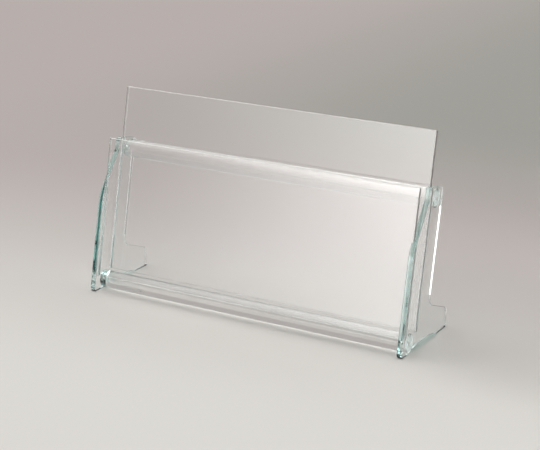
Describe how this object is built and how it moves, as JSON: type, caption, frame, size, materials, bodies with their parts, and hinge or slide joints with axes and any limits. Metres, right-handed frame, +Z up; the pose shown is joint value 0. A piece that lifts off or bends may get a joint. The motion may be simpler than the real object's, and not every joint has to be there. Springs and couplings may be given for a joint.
{
  "type": "brochure stand",
  "caption": "Landscape tabletop brochure stand: clear leaning front and back panels between two profiled side panels, with round cross rods.",
  "frame": {"origin": "centre of the stand's footprint on the surface it rests on, half way between the side panels and half way from the toes to the heels", "axes": "+X along the width, towards the right-hand side panel as seen from the front; +Y to the rear; +Z up"},
  "size_m": [0.31, 0.0832, 0.1756],
  "materials": {
    "side_sheet": "clear acrylic sheet, 5 mm, with polished edges that look blue-green",
    "panel_sheet": "clear acrylic sheet, 3 mm, with polished edges",
    "rod": "clear round acrylic rod, polished"
  },
  "bodies": {
    "frame": {"side_panel_left": "side_sheet", "side_panel_right": "side_sheet", "top_rod": "rod", "bottom_rod": "rod"},
    "front_panel": {"front_panel": "panel_sheet"},
    "back_panel": {"back_panel": "panel_sheet"}
  },
  "joints": [
    {"name": "front_panel_lift", "type": "slide", "parent": "frame", "child": "front_panel", "axis": [0, 0.2079, 0.9781], "range_m": [0, 0.08]},
    {"name": "back_panel_lift", "type": "slide", "parent": "frame", "child": "back_panel", "axis": [0, 0.2079, 0.9781], "range_m": [0, 0.11]}
  ]
}
